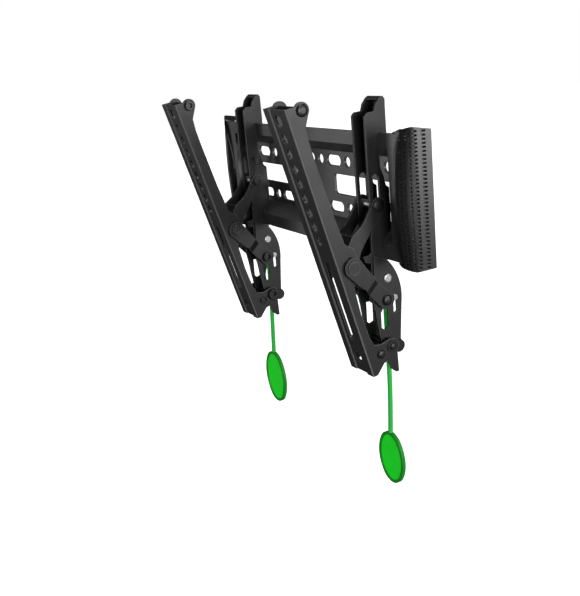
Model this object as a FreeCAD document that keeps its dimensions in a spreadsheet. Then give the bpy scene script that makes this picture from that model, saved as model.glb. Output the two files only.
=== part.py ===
import FreeCAD, Part
import math
import os
import re

import Sketcher

# Tilting television wall mount: a pressed wall plate with two hangers hooked over its rails.
# Each hanger carries a television arm on a pivot at its foot, an elbow linkage that holds
# the tilt, and a sprung latch that a green pull cord draws down.
# The frame's origin is the centre of the wall plate's back face, on the wall.
# X runs along the rails to the right, Y into the wall, Z up. Each hanger is drawn about its
# own tilt pivot, and its pieces are then placed at the hanger's station on the rails.
# Lengths are millimetres and angles are degrees.

SIZES = [
    # wall plate
    ("plate_half", 148.0), ("plate_sheet", 2.5), ("rail_top", 48.9), ("lip_low", 37.8),
    ("rail_out", 16.0), ("floor_half", 28.4), ("slope_wall", 3.05), ("recess_half", 129.0),
    ("recess_draft", 0.5), ("hole_pitch", 21.0), ("hole_row", 20.0), ("slot_long", 22.0),
    ("slot_wide", 9.0), ("window_in", 30.5), ("window_out", 112.0), ("window_half", 8.6),
    ("window_corner", 3.0),
    # end covers, measured from the plate's end and from the rails' front
    ("side_reach", 13.5), ("edge_set", 6.0), ("tip_set", 11.5), ("cap_set", 24.0),
    ("cover_rise", 1.6), ("cover_swell", 3.7), ("cover_gap", 0.3), ("cover_wall", 2.1),
    ("cap_side", 2.8), ("cap_ridge", 5.3), ("cap_low", 0.9), ("vent_pitch", 2.9),
    ("vent_high", 1.3), ("vent_wide", 2.6), ("vent_rows", 36.0), ("vent_first", 5.9),
    ("vent_step", 6.1), ("vent_deep", 4.2), ("side_fall", 2.9), ("seam_set", 2.0),
    # hanger stations and tilt pivot
    ("station_left", -90.0), ("station_right", 110.0), ("pivot_out", 20.0),
    ("pivot_drop", 118.65), ("tilt_rest", 15.2), ("axle_gap", 0.05), ("pin_gap", 0.3),
    # hook bracket
    ("hook_wide", 18.4), ("hook_sheet", 2.0), ("hook_front", 7.7), ("hook_foot_front", 10.0),
    ("shoulder_z", 183.2), ("shoulder_y", 5.0), ("shoulder_drop", 2.5), ("neck_y", 1.0),
    ("hook_top", 193.9), ("tooth_thick", 4.3), ("tooth_drop", 9.8), ("lip_gap", 0.5),
    ("rail_gap", 0.4), ("hook_low", 46.0), ("hook_back", 10.9),
    # side plates
    ("side_sheet", 1.8), ("link_axle_y", -0.9), ("link_axle_z", 38.2), ("rivet_y", 3.5),
    ("rivet_z", 54.4), ("rivet_radius", 1.8), ("rivet_head", 3.6), ("rivet_cap", 0.8),
    ("axle_radius", 3.0), ("axle_head", 4.3), ("axle_dome", 2.6), ("axle_nut", 4.9),
    ("nut_high", 2.7), ("socket", 2.6), ("boss_y", 9.8), ("boss_z", -3.5),
    ("boss_radius", 5.6), ("boss_bolt", 2.0), ("boss_bolt_head", 5.2), ("boss_bolt_high", 2.4),
    # latch
    ("latch_pin_y", 8.9), ("latch_pin_z", 37.6), ("latch_pin_radius", 1.35),
    ("latch_pin_head", 2.5), ("latch_pin_cap", 0.5), ("pin_slot_low", 26.6),
    ("latch_travel", 7.0), ("latch_thick", 5.0), ("latch_tip", 76.0), ("latch_tooth", 3.5),
    ("spring_y", -4.5), ("spring_low", 53.5), ("spring_high", 66.0), ("spring_radius", 2.3),
    ("spring_wire", 0.8), ("spring_turns", 5.0), ("seat_half", 2.0), ("seat_thick", 2.0),
    ("peg_radius", 1.6), ("peg_high", 2.0),
    # television arm, drawn upright about the tilt pivot
    ("spacer_long", 3.55), ("arm_sheet", 2.0), ("arm_face", 24.8), ("arm_low", 15.6),
    ("arm_top", 207.7), ("trough_half", 7.8), ("trough_deep", 1.2), ("trough_draft", 0.8),
    ("bolt_top", 198.5), ("bolt_span", 200.0), ("bolt_hole", 4.5), ("small_hole", 3.85),
    ("small_first", 184.8), ("small_pitch", 11.7), ("arm_slot_low", 14.0),
    ("arm_slot_high", 84.6), ("arm_slot_wide", 6.0), ("ear_y", -12.0), ("ear_z", 202.4),
    ("ear_radius", 6.0), ("ear_bolt", 2.5), ("ear_head", 4.6), ("stop_y", -12.05),
    ("stop_z", -0.9), ("stop_bolt", 2.5), ("stop_head", 3.6), ("head_high", 2.2),
    ("elbow_travel", 5.04), ("elbow_head", 5.4), ("elbow_cap", 0.7), ("pivot_flange", 4.9),
    ("pivot_head", 2.9), ("pivot_dome", 1.7), ("pivot_nut", 5.5), ("spacer_radius", 5.4),
    # links
    ("lower_long", 46.05), ("lower_angle", 133.33), ("link_sheet", 2.2), ("link_gap", 0.9),
    ("outer_gap", 0.35), ("joggle_from", 15.5), ("joggle_to", 23.0), ("eye_low", 7.4),
    ("eye_high", 7.8), ("waist_front", 6.2), ("waist_back", 4.9), ("upper_long", 51.96),
    ("upper_angle", 53.37), ("upper_sheet", 2.0), ("upper_gap", 0.4), ("slide_travel", 20.12),
    ("slide_head", 4.8), ("eye_slide", 6.3), ("web_low", 11.0), ("web_high", 20.9),
    ("web_front", 7.9), ("web_crown", 9.1), ("web_from", 24.0), ("web_to", 27.0),
    ("web_thick", 1.8),
    # pull cords and tabs
    ("cord_y", 7.4), ("cord_radius", 2.1), ("cord_top", 31.0), ("lug_half", 4.2),
    ("end_y_left", 2.7), ("end_z_left", -67.5), ("end_y_right", 4.6), ("end_z_right", -83.8),
    ("tab_wide_left", 39.0), ("tab_high_left", 55.0), ("tab_wide_right", 34.0),
    ("tab_high_right", 47.0), ("tab_thick", 3.2), ("tab_web", 1.6), ("tab_rim", 2.4),
]

doc = FreeCAD.newDocument("television_mount")
sheet = doc.addObject("Spreadsheet::Sheet", "Sizes")
for row, (alias, number) in enumerate(SIZES, start=1):
    sheet.set("A%d" % row, alias)
    sheet.set("B%d" % row, str(number))
    sheet.setAlias("B%d" % row, alias)
doc.recompute()

# The two bends of each cord, as Y and Z from the tilt pivot
CORD_BENDS = {"left": [(6.2, -8.0), (4.4, -38.0)], "right": [(7.1, -8.0), (7.2, -44.0)]}

ALIASES = {alias for alias, number in SIZES}
NODES = []
LIP = "(pivot_out - rail_out)"           # front face of the rails, from the tilt pivot
RAIL = "(pivot_drop + rail_top)"         # top edge of the upper rail, from the tilt pivot
PLATE_OUT = "(hook_wide / 2 + side_sheet)"
LINK_IN = "(hook_wide / 2 + side_sheet + link_gap)"
ARM_IN = "(hook_wide / 2 + side_sheet + spacer_long)"
ARM_HALF = "(hook_wide / 2 + side_sheet + spacer_long + arm_sheet)"
ELBOW_IN = "(hook_wide / 2 + side_sheet + spacer_long + arm_sheet + outer_gap)"
UPPER_IN = "(hook_wide / 2 + upper_gap)"
ELBOW_OUT = "(link_axle_y + lower_long * cos(lower_angle))"
ELBOW_UP = "(link_axle_z + lower_long * sin(lower_angle))"
ELBOW_Y = "(%s * cos(tilt_rest) + %s * sin(tilt_rest))" % (ELBOW_OUT, ELBOW_UP)
ELBOW_Z = "(%s * cos(tilt_rest) - %s * sin(tilt_rest))" % (ELBOW_UP, ELBOW_OUT)
SLIDE_Y = "(%s + upper_long * cos(upper_angle))" % ELBOW_OUT
SLIDE_Z = "(%s + upper_long * sin(upper_angle))" % ELBOW_UP
ALONG_X = FreeCAD.Vector(1, 0, 0)


def bind(text):
    """Turn a formula in size names into an expression on the sheet."""
    return re.sub(r"[a-z][a-z_]*", lambda found: "Sizes." + found.group(0)
                  if found.group(0) in ALIASES else found.group(0), str(text))


def number(text):
    """The value of a formula in size names."""
    return float(sheet.evalExpression(bind(text)))


def vector(x, y, z=0):
    return FreeCAD.Vector(number(x), number(y), number(z))


# Sketch helpers: every point, radius and length is tied to the sheet.


def tie(sketch, kind, *where):
    """Add a dimension whose last entry is a formula, and bind it."""
    formula = where[-1]
    index = sketch.addConstraint(Sketcher.Constraint(kind, *where[:-1], number(formula)))
    sketch.setExpression("Constraints[%d]" % index, bind(formula))


def pin_point(sketch, geometry, point, x, y):
    tie(sketch, "DistanceX", -1, 1, geometry, point, x)
    tie(sketch, "DistanceY", -1, 1, geometry, point, y)


def outline(sketch, corners):
    """A closed outline. A corner of three entries is a point that an arc passes through."""
    sides = []
    for index, corner in enumerate(corners):
        if len(corner) == 3:
            continue
        following = corners[(index + 1) % len(corners)]
        via = following[:2] if len(following) == 3 else None
        end = corners[(index + 2) % len(corners)] if via else following
        begin, finish = 1, 2
        if via is None:
            sketch.addGeometry(Part.LineSegment(vector(*corner), vector(*end)), False)
        else:
            one, two, three = vector(*corner), vector(*via), vector(*end)
            if (two - one).cross(three - two).z < 0:
                # the sketch keeps every arc anticlockwise
                one, three = three, one
                begin, finish = 2, 1
            sketch.addGeometry(Part.Arc(one, two, three), False)
        sides.append((sketch.GeometryCount - 1, begin, finish, corner, via))
    for side, following in zip(sides, sides[1:] + sides[:1]):
        geometry, begin, finish, corner, via = side
        sketch.addConstraint(Sketcher.Constraint(
            "Coincident", geometry, finish, following[0], following[1]))
        pin_point(sketch, geometry, begin, *corner)
    for geometry, begin, finish, corner, via in sides:
        if via:
            sketch.addGeometry(Part.Point(vector(*via)), True)
            mark = sketch.GeometryCount - 1
            pin_point(sketch, mark, 1, *via)
            sketch.addConstraint(Sketcher.Constraint("PointOnObject", mark, 1, geometry))


def ring(sketch, x, y, radius):
    circle = Part.Circle(vector(x, y), FreeCAD.Vector(0, 0, 1), number(radius))
    geometry = sketch.addGeometry(circle, False)
    pin_point(sketch, geometry, 3, x, y)
    tie(sketch, "Radius", geometry, radius)


def slot(sketch, x_one, y_one, x_two, y_two, radius):
    """An obround hole between two centres, along the sketch's X or Y."""
    one, two = vector(x_one, y_one), vector(x_two, y_two)
    wide = number(radius)
    angle = math.atan2(two.y - one.y, two.x - one.x)
    across = FreeCAD.Vector(-math.sin(angle), math.cos(angle), 0) * wide
    normal = FreeCAD.Vector(0, 0, 1)
    half = math.pi / 2
    near = Part.ArcOfCircle(Part.Circle(one, normal, wide), angle + half, angle + 3 * half)
    far = Part.ArcOfCircle(Part.Circle(two, normal, wide), angle - half, angle + half)
    base = sketch.GeometryCount
    sketch.addGeometry([near, Part.LineSegment(one - across, two - across), far,
                        Part.LineSegment(two + across, one + across)], False)
    for first, first_end, second, second_end in ((0, 2, 1, 1), (1, 2, 2, 1), (2, 2, 3, 1),
                                                 (3, 2, 0, 1)):
        sketch.addConstraint(Sketcher.Constraint(
            "Tangent", base + first, first_end, base + second, second_end))
    sketch.addConstraint(Sketcher.Constraint("Equal", base, base + 2))
    pin_point(sketch, base, 3, x_one, y_one)
    pin_point(sketch, base + 2, 3, x_two, y_two)
    tie(sketch, "Radius", base, radius)


def plane_of(body, role):
    return next(item for item in body.Origin.OriginFeatures if item.Role == role)


def sketch_on(body, role, name, offset=None):
    sketch = body.newObject("Sketcher::SketchObject", name)
    sketch.AttachmentSupport = [(plane_of(body, role), "")]
    sketch.MapMode = "FlatFace"
    if offset is not None:
        sketch.setExpression("AttachmentOffset.Base.z", bind(offset))
    return sketch


def pad(body, sketch, length, symmetric=True, reverse=False):
    feature = body.newObject("PartDesign::Pad", sketch.Name + "_pad")
    feature.Profile = sketch
    feature.SideType = "Symmetric" if symmetric else "One side"
    feature.Reversed = reverse
    feature.setExpression("Length", bind(length))
    doc.recompute()
    return feature


def pocket(body, sketch, length, symmetric=True, reverse=False):
    before = body.Shape.Volume
    feature = body.newObject("PartDesign::Pocket", sketch.Name + "_pocket")
    feature.Profile = sketch
    feature.SideType = "Symmetric" if symmetric else "One side"
    feature.Reversed = reverse
    feature.setExpression("Length", bind(length))
    doc.recompute()
    if not body.Shape.Volume < before - 1e-6:
        raise ValueError(feature.Name + " cuts nothing")
    return feature


def round_edges(body, radius, chosen):
    """Fillet the edges of the body's tip that the chooser picks."""
    tip = body.Tip
    names = ["Edge%d" % (index + 1) for index, edge in enumerate(tip.Shape.Edges)
             if chosen(edge)]
    if not names:
        raise ValueError("no edge to round on " + body.Label)
    feature = body.newObject("PartDesign::Fillet", tip.Name + "_round")
    feature.Base = (tip, names)
    feature.setExpression("Radius", bind(radius))
    doc.recompute()
    return feature


def edge_through(axis, places):
    """Pick straight edges along an axis, 0 to 2, that pass through the given places."""
    rest = [index for index in range(3) if index != axis]
    marks = [(number(one), number(two)) for one, two in places]

    def chosen(edge):
        if not isinstance(edge.Curve, Part.Line):
            return False
        if abs(edge.Curve.Direction[axis]) < 0.999:
            return False
        middle = edge.CenterOfMass
        return any(abs(middle[rest[0]] - one) < 0.01 and abs(middle[rest[1]] - two) < 0.01
                   for one, two in marks)
    return chosen


def new_body(label):
    body = doc.addObject("PartDesign::Body", label)
    body.Label = label
    NODES.append(body)
    return body


def turned(name, profile):
    """A solid of revolution about X: each corner is a place along X and a radius."""
    sketch = doc.addObject("Sketcher::SketchObject", name + "_profile")
    outline(sketch, profile)
    solid = doc.addObject("Part::Revolution", name + "_turned")
    solid.Source = sketch
    solid.Axis = ALONG_X
    solid.Angle = 360
    solid.Solid = True
    return solid


def group(label, parts):
    node = doc.addObject("Part::Compound", label)
    node.Label = label
    node.Links = parts
    NODES.append(node)
    return node


def keep(label, solid):
    solid.Label = label
    NODES.append(solid)
    return solid


def place(node, side, turn=None, at=("0", "0", "0")):
    """Put a piece of a hanger at its station. The place is measured from the tilt pivot."""
    base = (bind("station_%s + %s" % (side, at[0])), bind("%s - pivot_out" % at[1]),
            bind("%s - pivot_drop" % at[2]))
    node.Placement = FreeCAD.Placement(FreeCAD.Vector(0, 0, 0), turn or FreeCAD.Rotation())
    for axis, formula in zip("xyz", base):
        node.setExpression("Placement.Base." + axis, formula)


# Wall plate and end covers


def rectangle(sketch, half_x, half_z):
    outline(sketch, [("-(%s)" % half_x, "-(%s)" % half_z), (half_x, "-(%s)" % half_z),
                     (half_x, half_z), ("-(%s)" % half_x, half_z)])


def make_wall_plate():
    """A sheet frame at rail level whose middle is pressed back to the wall."""
    body = new_body("wall_plate")
    front = sketch_on(body, "XZ_Plane", "plate_front", "rail_out")
    rectangle(front, "plate_half", "rail_top")
    pad(body, front, "plate_sheet", symmetric=False, reverse=True)

    slope = "((lip_low - floor_half) / (rail_out - plate_sheet) * plate_sheet)"
    tray_top = sketch_on(body, "XZ_Plane", "tray_top", "rail_out - plate_sheet")
    rectangle(tray_top, "recess_half + plate_sheet", "lip_low + slope_wall - " + slope)
    tray_back = sketch_on(body, "XZ_Plane", "tray_back", "0")
    rectangle(tray_back, "recess_half - recess_draft + plate_sheet",
              "floor_half + slope_wall - " + slope)
    tray = body.newObject("PartDesign::AdditiveLoft", "tray")
    tray.Profile = tray_top
    tray.Sections = [tray_back]
    tray.Ruled = True
    doc.recompute()

    opening = sketch_on(body, "XZ_Plane", "recess_opening", "rail_out")
    rectangle(opening, "recess_half", "lip_low")
    floor = sketch_on(body, "XZ_Plane", "recess_floor", "plate_sheet")
    rectangle(floor, "recess_half - recess_draft", "floor_half")
    recess = body.newObject("PartDesign::SubtractiveLoft", "recess")
    recess.Profile = opening
    recess.Sections = [floor]
    recess.Ruled = True
    doc.recompute()

    windows = sketch_on(body, "XZ_Plane", "windows", "0")
    for sign in ("-", ""):
        outline(windows, [(sign + "window_in", "-window_half"), (sign + "window_in", "window_half"),
                          (sign + "window_out", "window_half"),
                          (sign + "window_out", "-window_half")])
    pocket(body, windows, "4 * plate_sheet")
    corners = [(x, z) for x in ("-window_out", "-window_in", "window_in", "window_out")
               for z in ("-window_half", "window_half")]
    round_edges(body, "window_corner", edge_through(1, corners))

    holes = sketch_on(body, "XZ_Plane", "wall_holes", "0")
    for height in ("-hole_row", "hole_row"):
        ring(holes, "-5.5 * hole_pitch", height, "slot_wide / 2")
        centre = "-4.5 * hole_pitch"
        reach = "(slot_long - slot_wide) / 2"
        slot(holes, "%s - %s" % (centre, reach), height, "%s + %s" % (centre, reach), height,
             "slot_wide / 2")
    cut = pocket(body, holes, "4 * plate_sheet")
    copies = body.newObject("PartDesign::LinearPattern", "wall_hole_row")
    copies.Originals = [cut]
    copies.Direction = (holes, ["H_Axis"])
    copies.setExpression("Length", bind("10 * hole_pitch"))
    copies.Occurrences = 6
    body.Tip = copies
    doc.recompute()
    return body


def cover_plan(sketch, swell):
    """The cover seen from above: a straight side, a rounded corner and a bowed front."""
    outline(sketch, [
        ("plate_half + side_reach", "0"), ("plate_half + side_reach - 5", "6.9 - rail_out"),
        ("plate_half + side_reach - 7.1", "3.6 - rail_out", "arc"),
        ("plate_half + 3 + %s * 0.25" % swell, "0.4 - rail_out - %s * 0.1" % swell),
        ("plate_half - 1 + %s * 0.25" % swell, "-rail_out - 1.1 - %s * 0.65" % swell, "arc"),
        ("plate_half - edge_set", "-rail_out - cover_rise - " + swell),
        ("plate_half - tip_set", "-rail_out - cover_gap"), ("plate_half - cap_set", "0")])


def make_cover(label, left):
    """A bowed, perforated cover over one end of the plate."""
    body = new_body(label)
    height = "(rail_top + cap_ridge)"
    plans = []
    for name, level, swell in (("low", "-" + height, "0"), ("middle", "0", "cover_swell"),
                               ("top", height, "0")):
        plans.append(sketch_on(body, "XY_Plane", "%s_%s" % (label, name), level))
        cover_plan(plans[-1], swell)
    shell = body.newObject("PartDesign::AdditiveLoft", label + "_shell")
    shell.Profile = plans[0]
    shell.Sections = plans[1:]
    doc.recompute()

    roof = sketch_on(body, "XZ_Plane", label + "_roof")
    eaves = sketch_on(body, "YZ_Plane", label + "_eaves")
    for sign in ("", "-"):
        beyond = "%s(rail_top + cap_ridge + 5)" % sign
        low = "%s(rail_top + cap_low)" % sign
        outline(roof, [
            ("plate_half + 6.5", sign + height), ("plate_half - tip_set", low),
            ("plate_half - cap_set - 3", low), ("plate_half - cap_set - 3", beyond),
            ("plate_half + 6.5", beyond)])
        outline(eaves, [
            ("1", "%s(rail_top + cap_side - 0.2)" % sign), ("1", beyond),
            ("-rail_out - 9", beyond),
            ("-rail_out - 9", "%s(rail_top + cap_side + (cap_ridge - cap_side) * 1.95)" % sign)])
    pocket(body, roof, "3 * plate_half")
    pocket(body, eaves, "3 * plate_half")

    inside = sketch_on(body, "XY_Plane", label + "_inside")
    side, front = "plate_half + side_reach - cover_wall", "-rail_out - cover_gap"
    outline(inside, [
        (side, "1"), (side, "0"), (side + " - 6", "5.2 - rail_out"),
        ("plate_half + cover_gap", front), ("plate_half - cap_set - 9", front),
        ("plate_half - cap_set - 9", "1")])
    pocket(body, inside, "2 * (rail_top + cover_gap)")

    seam = sketch_on(body, "XZ_Plane", label + "_seam", "rail_out + cover_gap")
    outline(seam, [
        ("plate_half - cap_set - 9", "-rail_top - cover_gap"),
        ("plate_half - seam_set", "-rail_top - cover_gap"),
        ("plate_half - tip_set", "0", "arc"), ("plate_half - seam_set", "rail_top + cover_gap"),
        ("plate_half - cap_set - 9", "rail_top + cover_gap")])
    pocket(body, seam, "plate_half", symmetric=False, reverse=True)

    start = "-(vent_rows - 1) / 2 * vent_pitch"
    for column in range(2):
        vents = sketch_on(body, "YZ_Plane", "%s_vents_%d" % (label, column),
                          "plate_half + side_reach - vent_deep - %d * side_fall" % column)
        middle = "-(vent_first + %d * vent_step) * cos(28.8)" % column
        outline(vents, [(middle + " - vent_wide / 2", start + " - vent_high / 2"),
                        (middle + " + vent_wide / 2", start + " - vent_high / 2"),
                        (middle + " + vent_wide / 2", start + " + vent_high / 2"),
                        (middle + " - vent_wide / 2", start + " + vent_high / 2")])
        cut = pocket(body, vents, "plate_half", symmetric=False, reverse=True)
        copies = body.newObject("PartDesign::LinearPattern", vents.Name + "_rows")
        copies.Originals = [cut]
        copies.Direction = (vents, ["V_Axis"])
        copies.setExpression("Length", bind("(vent_rows - 1) * vent_pitch"))
        copies.Occurrences = int(number("vent_rows"))
        body.Tip = copies
        doc.recompute()
    if left:
        body.Placement = FreeCAD.Placement(
            FreeCAD.Vector(0, 0, 0), FreeCAD.Rotation(FreeCAD.Vector(0, 1, 0), 180))
    return body


# Hanger pieces that stay with the hook bracket


def make_hook_bracket(side):
    """Two flanges in front of both rails, joined behind the upper rail by the hook's web."""
    body = new_body("hook_bracket_" + side)
    flange = sketch_on(body, "YZ_Plane", body.Label + "_side")
    back_of_hook = "%s + plate_sheet + lip_gap + tooth_thick" % LIP
    notch_back = "%s + plate_sheet + lip_gap" % LIP
    notch_front = "%s - rail_gap" % LIP
    outline(flange, [
        ("-hook_front", "hook_low + 46"), ("-hook_front", "shoulder_z - shoulder_drop"),
        ("-shoulder_y", "shoulder_z"), ("neck_y", "shoulder_z + 0.3"),
        ("neck_y + 1.7", "hook_top - 5.5"), ("neck_y + 5.2", "hook_top - 1.4"),
        ("neck_y + 7.4", "hook_top"), (back_of_hook + " - 1.6", "hook_top"),
        (back_of_hook, "hook_top - 2.2"),
        (back_of_hook, RAIL + " - tooth_drop"), (notch_back, RAIL + " - tooth_drop"),
        (notch_back, RAIL + " + rail_gap"), (notch_front, RAIL + " + rail_gap"),
        (notch_front, "pivot_drop + floor_half - 5"),
        (notch_front + " + 2.6", "pivot_drop + floor_half - 11.8"),
        ("hook_back - 2.8", "pivot_drop + floor_half - 19.5"),
        ("hook_back", "pivot_drop + floor_half - 21.8"),
        ("hook_back", "pivot_drop - floor_half + 3"),
        (notch_front, "pivot_drop - lip_low + 3.5"), (notch_front, "pivot_drop - rail_top - 3"),
        ("hook_back", "pivot_drop - rail_top - 9"), ("hook_back", "hook_low"),
        ("-hook_foot_front", "hook_low"), ("-hook_foot_front", "hook_low + 23"),
        ("-hook_foot_front - 5.5", "hook_low + 25"), ("-hook_foot_front - 6.5", "hook_low + 29"),
        ("-hook_foot_front - 1", "hook_low + 29.6"), ("1 - hook_foot_front", "hook_low + 31.5"),
        ("1 - hook_foot_front", "hook_low + 43")])
    pad(body, flange, "hook_wide")

    hollow = sketch_on(body, "YZ_Plane", body.Label + "_hollow")
    web = back_of_hook + " - hook_sheet"
    outline(hollow, [
        ("-hook_foot_front - 15", "hook_low - 5"), ("pivot_out", "hook_low - 5"),
        ("pivot_out", RAIL + " - tooth_drop - 1"), (web, RAIL + " - tooth_drop - 1"),
        (web, "hook_top - 4.2"), (web + " - 1.4", "hook_top - hook_sheet - 0.4"),
        ("neck_y + 5", "hook_top - hook_sheet - 0.4"), ("neck_y + 5", "hook_top + 5"),
        ("-hook_foot_front - 15", "hook_top + 5")])
    pocket(body, hollow, "hook_wide - 2 * hook_sheet")

    holes = sketch_on(body, "YZ_Plane", body.Label + "_holes")
    slot(holes, SLIDE_Y, SLIDE_Z + " - pin_gap", SLIDE_Y, SLIDE_Z + " + slide_travel + pin_gap",
         "axle_radius + pin_gap")
    ring(holes, "rivet_y", "rivet_z", "rivet_radius")
    pocket(body, holes, "hook_wide + 2")
    place(body, side)
    return body


def make_side_plate(side, where, sign):
    """A pressed plate riveted to one flange of the hook bracket, down to the tilt pivot."""
    body = new_body("side_plate_%s_%s" % (where, side))
    start = "hook_wide / 2" if sign > 0 else "-hook_wide / 2 - side_sheet"
    face = sketch_on(body, "YZ_Plane", body.Label + "_face", start)
    rear = [("14.4", "20.5", "arc"), ("boss_y + 3", "boss_z + 4.75")]
    if where == "far":
        rear = [("12.6", "link_axle_z - 14.6"), ("7.2", "13", "arc"),
                ("boss_y + 1.2", "boss_z + 5.5")]
    outline(face, [
        ("-8.5", "link_axle_z + 36.3"), ("-3.4", "link_axle_z + 34.2"),
        ("5.1", "link_axle_z + 30"), ("14.2", "link_axle_z + 13.3", "arc"),
        ("15.5", "link_axle_z - 6"), *rear,
        ("boss_y + boss_radius", "boss_z", "arc"), ("boss_y - 1.7", "boss_z - 5.35"),
        ("0", "-6.3"), ("-5.2", "-3.6", "arc"), ("-6", "2.2"), ("-8.5", "17.1"),
        ("-10", "30.2"), ("-12.1", "link_axle_z + 2.6"), ("-11.4", "link_axle_z + 12.6"),
        ("-9.2", "link_axle_z + 21.2")])
    pad(body, face, "side_sheet", symmetric=False)

    holes = sketch_on(body, "YZ_Plane", body.Label + "_holes", start)
    ring(holes, "0", "0", "axle_radius")
    ring(holes, "link_axle_y", "link_axle_z", "axle_radius")
    ring(holes, "rivet_y", "rivet_z", "rivet_radius")
    ring(holes, "boss_y", "boss_z", "boss_bolt")
    slot(holes, "latch_pin_y", "latch_pin_z", "latch_pin_y", "pin_slot_low",
         "latch_pin_radius + pin_gap")
    outline(holes, [("link_axle_y - 4", "link_axle_z - 4.9"),
                    ("link_axle_y + 2.3", "link_axle_z - 5.2"),
                    ("link_axle_y + 2.8", "link_axle_z - 7.9"), ("1.6", "14.4"),
                    ("-2.5", "12.8"), ("-5.2", "15.3")])
    pocket(body, holes, "4 * side_sheet")
    place(body, side)
    return body


def make_rivets(side):
    """Two domed rivets that join the side plates to the hook bracket."""
    parts = []
    for sign in ("", "-"):
        inner = "%s(hook_wide / 2 - hook_sheet)" % sign
        outer = "%s%s" % (sign, PLATE_OUT)
        profile = [
            ("%s(hook_wide / 2 - hook_sheet - rivet_cap)" % sign, "0"),
            ("%s(hook_wide / 2 - hook_sheet - rivet_cap)" % sign, "rivet_radius + 1"),
            (inner, "rivet_radius + 1"), (inner, "rivet_radius"), (outer, "rivet_radius"),
            (outer, "rivet_head"), ("%s(%s + rivet_cap / 2)" % (sign, PLATE_OUT), "rivet_head"),
            ("%s(%s + rivet_cap)" % (sign, PLATE_OUT), "rivet_head - 1"),
            ("%s(%s + rivet_cap)" % (sign, PLATE_OUT), "0")]
        parts.append(turned("plate_rivet_%s_%s" % (side, "b" if sign else "a"), profile))
    node = group("plate_rivets_" + side, parts)
    place(node, side, at=("0", "rivet_y", "rivet_z"))
    return node


def make_boss_bolts(side):
    """A round nut on each side plate's rear lobe, with its bolt through the plate."""
    parts = []
    for sign in ("", "-"):
        profile = [
            ("%s(hook_wide / 2)" % sign, "0"), ("%s(hook_wide / 2)" % sign, "boss_bolt"),
            (sign + PLATE_OUT, "boss_bolt"), (sign + PLATE_OUT, "boss_bolt_head"),
            ("%s(%s + boss_bolt_high - 0.5)" % (sign, PLATE_OUT), "boss_bolt_head"),
            ("%s(%s + boss_bolt_high)" % (sign, PLATE_OUT), "boss_bolt_head - 0.5"),
            ("%s(%s + boss_bolt_high)" % (sign, PLATE_OUT), "0")]
        parts.append(turned("boss_bolt_%s_%s" % (side, "b" if sign else "a"), profile))
    node = group("boss_bolts_" + side, parts)
    place(node, side, at=("0", "boss_y", "boss_z"))
    return node


def dome(radius, high, foot="0"):
    """Corners of a domed head: a place beyond the outermost piece, and a radius."""
    return [(foot, radius), ("%s + %s * 0.3" % (foot, high), radius),
            ("%s + %s * 0.72" % (foot, high), radius + " * 0.8"),
            ("%s + %s * 0.94" % (foot, high), radius + " * 0.45"), ("%s + %s" % (foot, high), "0")]


def headed_axle(label, side, half, radius, outer, nut, nut_high, recess):
    """An axle across the hanger: its head on the outer side, a socketed nut on the inner."""
    end = "-%s - %s" % (half, nut_high)
    profile = [("-%s - 0.3" % half, "0"), ("-%s - 0.3" % half, recess), (end, recess),
               (end, nut + " - 0.5"), (end + " + 0.5", nut), ("-" + half, nut),
               ("-" + half, radius), (half, radius)]
    profile += [("%s + %s" % (half, reach), size) for reach, size in outer]
    solid = keep(label + "_" + side, turned(label + "_" + side, profile))
    return solid, FreeCAD.Rotation(FreeCAD.Vector(0, 0, 1), 180 if side == "left" else 0)


def make_link_axle(side):
    half = "(%s + link_sheet + 0.1)" % LINK_IN
    solid, turn = headed_axle("link_axle", side, half, "axle_radius",
                              dome("axle_head", "axle_dome"), "axle_nut", "nut_high", "socket")
    place(solid, side, turn, ("0", "link_axle_y", "link_axle_z"))
    return solid


def make_pivot(side):
    """The tilt pivot, and the stepped spacers between the side plates and the arm."""
    half = "(%s + 0.1)" % ARM_HALF
    head = [("0", "pivot_flange"), ("0.7", "pivot_flange")]
    solid, turn = headed_axle("pivot_bolt", side, half, "axle_radius",
                              head + dome("pivot_head", "pivot_dome", "0.7"),
                              "pivot_nut", "nut_high", "socket")
    place(solid, side, turn)
    parts = []
    for sign in ("", "-"):
        near, far = sign + PLATE_OUT, "%s(%s - 0.1)" % (sign, ARM_IN)
        step = "%s(hook_wide / 2 + side_sheet + boss_bolt_high + 0.2)" % sign
        profile = [(near, "axle_radius"), (far, "axle_radius"), (far, "spacer_radius"),
                   (step, "spacer_radius"), (step, "axle_radius + 0.6"),
                   (near, "axle_radius + 0.6")]
        parts.append(turned("pivot_spacer_%s_%s" % (side, "b" if sign else "a"), profile))
    node = group("pivot_spacers_" + side, parts)
    place(node, side)
    return solid


def make_spring_seat(side):
    """A cross bar with a peg under the latch spring, between the bracket's flanges."""
    body = new_body("spring_seat_" + side)
    bar = sketch_on(body, "YZ_Plane", body.Label + "_section")
    outline(bar, [("-seat_half", "-seat_thick"), ("seat_half", "-seat_thick"),
                  ("seat_half", "0"), ("-seat_half", "0")])
    pad(body, bar, "hook_wide - 2 * hook_sheet")
    peg = sketch_on(body, "XY_Plane", body.Label + "_peg")
    ring(peg, "0", "0", "peg_radius")
    pad(body, peg, "peg_high", symmetric=False)
    place(body, side, at=("0", "spring_y", "spring_low"))
    return body


# Latch group: it slides down with the pull cord


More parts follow.
